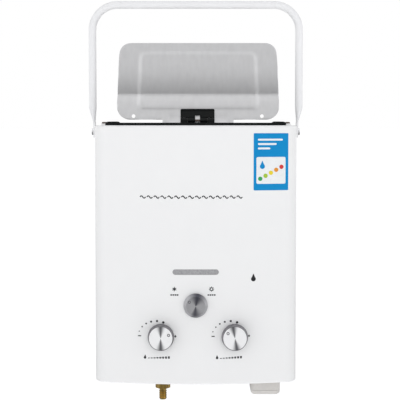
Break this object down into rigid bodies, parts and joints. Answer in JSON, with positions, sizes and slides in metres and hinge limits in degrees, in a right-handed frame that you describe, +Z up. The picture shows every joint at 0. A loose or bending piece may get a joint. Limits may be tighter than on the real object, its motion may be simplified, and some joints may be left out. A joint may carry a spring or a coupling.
{
  "type": "portable propane water heater",
  "caption": "White sheet-metal portable propane water heater with a bail handle, a fold-down rain lid, three control knobs and a gas hose barb below.",
  "frame": {"origin": "middle of the flat back face that hangs against a wall", "axes": "+X to the right seen from the front, +Y into the wall, +Z up; the front faces -Y"},
  "size_m": [0.3132, 0.1545, 0.5844],
  "materials": {
    "white_paint": "gloss",
    "grey_paint": "satin",
    "black_paint": "satin",
    "zinc_steel": "satin",
    "bright_steel": "satin",
    "dark_steel": "satin",
    "cell_steel": "gloss",
    "brushed_sheet": "satin",
    "spun_aluminium": "satin",
    "cast_aluminium": "matte",
    "copper": "satin",
    "brass": "satin",
    "black_rubber": "matte",
    "black_plastic": "matte",
    "knob_plastic": "satin",
    "grey_plastic": "matte",
    "white_nylon": "matte",
    "white_ceramic": "gloss",
    "lens_glass": "gloss"
  },
  "bodies": {
    "body": {"front_casing": "white_paint", "back_plate": "zinc_steel", "bottom_plate": "zinc_steel", "exhaust_surround": "black_paint", "corner_bumpers": "black_rubber", "casing_screws": "dark_steel", "burner_tray": "bright_steel", "burner_blades": "bright_steel", "combustion_chamber": "copper", "heat_exchanger_core": "copper", "return_bends": "copper", "flue_hood": "bright_steel", "chamber_brackets": "zinc_steel", "sensor_ceramics": "white_ceramic", "sensor_rods": "bright_steel", "cold_pipe": "copper", "hot_pipe": "copper", "gas_valve": "cast_aluminium", "gas_solenoid": "black_plastic", "gas_pipe": "cast_aluminium", "gas_manifold": "cast_aluminium", "gas_nozzles": "brass", "season_valve": "brass", "water_valve": "brass", "diaphragm_cover": "brass", "diaphragm_screws": "bright_steel", "micro_switch": "black_plastic", "gas_inlet": "brass", "cold_inlet": "brass", "hot_outlet": "brass", "drain_plug": "black_plastic", "locknuts": "brass", "battery_box": "grey_plastic", "battery_door_pin": "bright_steel", "battery_cells": "cell_steel", "battery_contacts": "bright_steel", "control_box": "black_plastic", "window_lens": "lens_glass", "bail_screws": "bright_steel", "bail_washers": "white_nylon", "bail_nuts": "bright_steel", "lid_hinge_base": "black_plastic", "lid_hinge_pin": "bright_steel"},
    "bail": {"bail_handle": "grey_paint"},
    "lid": {"lid_plate": "brushed_sheet", "lid_hinge_leaf": "black_plastic", "lid_rivets": "bright_steel"},
    "gas_control": {"gas_knob": "knob_plastic", "gas_knob_face": "spun_aluminium", "gas_spindle": "bright_steel"},
    "water_control": {"water_knob": "knob_plastic", "water_knob_face": "spun_aluminium", "water_spindle": "bright_steel"},
    "season_control": {"season_knob": "knob_plastic", "season_knob_face": "spun_aluminium", "season_spindle": "bright_steel"},
    "door": {"battery_door": "grey_plastic"},
    "link": {"link_rod": "bright_steel"}
  },
  "joints": [
    {"name": "bail_swing", "type": "hinge", "parent": "body", "child": "bail", "pos_m": [0, -0.068, 0.1756], "axis": [1, 0, 0], "range_deg": [-150, 150]},
    {"name": "lid_fold", "type": "hinge", "parent": "body", "child": "lid", "pos_m": [0.0024, -0.0186, 0.192], "axis": [1, 0, 0], "range_deg": [0, 98]},
    {"name": "gas_turn", "type": "hinge", "parent": "body", "child": "gas_control", "pos_m": [-0.0495, -0.1395, -0.1157], "axis": [0, -1, 0], "range_deg": [-23, 157]},
    {"name": "water_turn", "type": "hinge", "parent": "body", "child": "water_control", "pos_m": [0.0557, -0.1395, -0.1157], "axis": [0, -1, 0], "range_deg": [-145, 35]},
    {"name": "season_turn", "type": "hinge", "parent": "body", "child": "season_control", "pos_m": [0, -0.1395, -0.0706], "axis": [0, -1, 0], "range_deg": [-95, 0]},
    {"name": "battery_door_swing", "type": "hinge", "parent": "body", "child": "door", "pos_m": [0.1015, -0.0221, -0.2007], "axis": [1, 0, 0], "range_deg": [0, 95]},
    {"name": "link_slide", "type": "slide", "parent": "body", "child": "link", "axis": [-1, 0, 0], "range_m": [0, 0.0035], "stiffness_N_per_m": 300}
  ]
}
